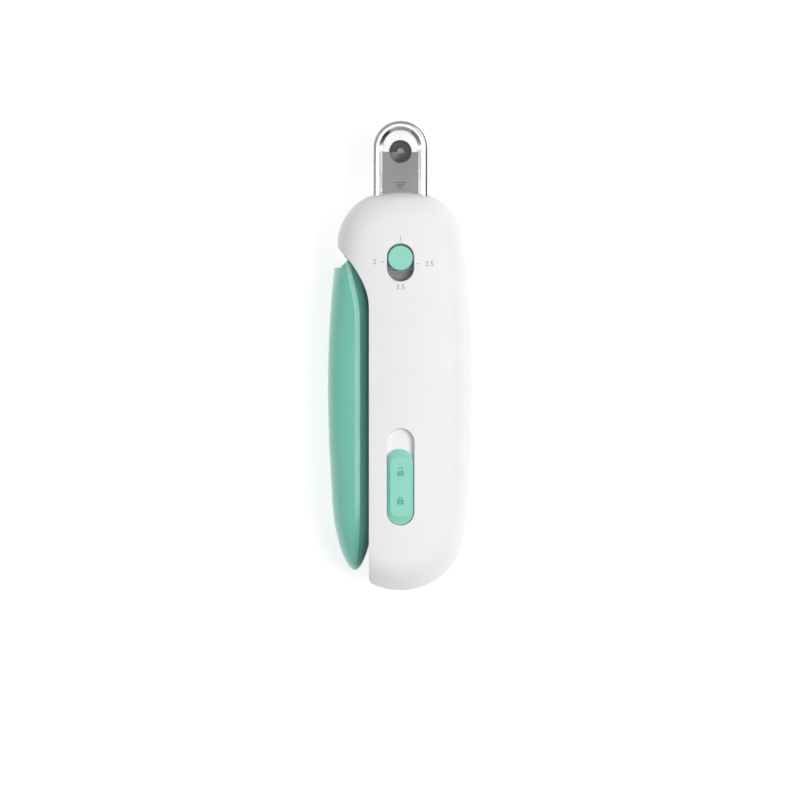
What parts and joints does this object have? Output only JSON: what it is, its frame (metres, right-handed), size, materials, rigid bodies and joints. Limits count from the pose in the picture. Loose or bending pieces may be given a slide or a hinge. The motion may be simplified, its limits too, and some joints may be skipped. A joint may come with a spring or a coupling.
{
  "type": "pet nail clipper",
  "caption": "Squeeze-lever guillotine nail clipper for cats and dogs, with a guarded sliding blade, an adjustable nail-length stop and a lever lock slide.",
  "frame": {"origin": "under the middle of the part, on the flat back face it lies on", "axes": "+X right seen from the front, +Y from the handle to the cutting head, +Z out of the front face"},
  "size_m": [0.0377, 0.122, 0.024],
  "materials": {
    "white_shell": "satin moulded ABS",
    "mint_lever": "satin moulded ABS",
    "mint_button": "satin moulded ABS",
    "grey_slide": "matte moulded acetal",
    "dark_plastic": "matte moulded nylon",
    "guard_metal": "polished stainless steel",
    "plate_steel": "fine brushed stainless steel",
    "blade_steel": "satin ground stainless steel",
    "stop_steel": "turned steel",
    "pin_steel": "plain steel",
    "spring_steel": "spring steel",
    "screw_steel": "zinc plated steel",
    "bush_brass": "turned brass"
  },
  "bodies": {
    "housing": {"front_shell": "white_shell", "rear_shell": "white_shell", "housing_screws": "screw_steel", "head_guard": "guard_metal", "anvil_plate": "plate_steel", "stop_guide": "dark_plastic", "head_screws": "screw_steel", "pivot_pin": "pin_steel", "lever_return_spring": "spring_steel", "selector_detent_spring": "spring_steel", "lock_detent_spring": "spring_steel"},
    "blade_unit": {"blade": "blade_steel", "blade_carrier": "pin_steel", "blade_screws": "screw_steel"},
    "lever_unit": {"squeeze_lever": "mint_lever", "drive_arm": "pin_steel", "pivot_bush": "bush_brass", "crank_pin": "pin_steel", "crank_roller": "pin_steel", "arm_screws": "screw_steel", "keeper": "pin_steel"},
    "selector": {"selector_knob": "mint_button", "selector_plate": "grey_slide", "depth_bar": "pin_steel"},
    "depth_stop": {"depth_stop_pin": "stop_steel", "stop_cross_pin": "pin_steel"},
    "lock": {"lock_slider": "mint_button", "lock_retainer": "grey_slide", "lock_screw": "screw_steel", "lock_catch": "spring_steel"}
  },
  "joints": [
    {"name": "lever_hinge", "type": "hinge", "parent": "housing", "child": "lever_unit", "pos_m": [-0.0085, 0.0235, 0.012], "axis": [0, 0, 1], "range_deg": [-9.5, 7.5], "deforming": ["lever_return_spring"]},
    {"name": "blade_slide", "type": "slide", "parent": "housing", "child": "blade_unit", "axis": [0, 1, 0], "range_m": [-0.0042, 0.0033]},
    {"name": "selector_slide", "type": "slide", "parent": "housing", "child": "selector", "axis": [0, -1, 0], "range_m": [0, 0.0025], "deforming": ["selector_detent_spring"]},
    {"name": "stop_slide", "type": "slide", "parent": "housing", "child": "depth_stop", "axis": [0, 0, -1], "range_m": [0, 0.0025]},
    {"name": "lock_slide", "type": "slide", "parent": "housing", "child": "lock", "axis": [0, 1, 0], "range_m": [0, 0.0052], "deforming": ["lock_catch", "lock_detent_spring"]}
  ],
  "couplings": [
    {"joint": "blade_slide", "follows": "lever_hinge", "m_per_rad": 0.025},
    {"joint": "stop_slide", "follows": "selector_slide", "ratio": 1}
  ]
}
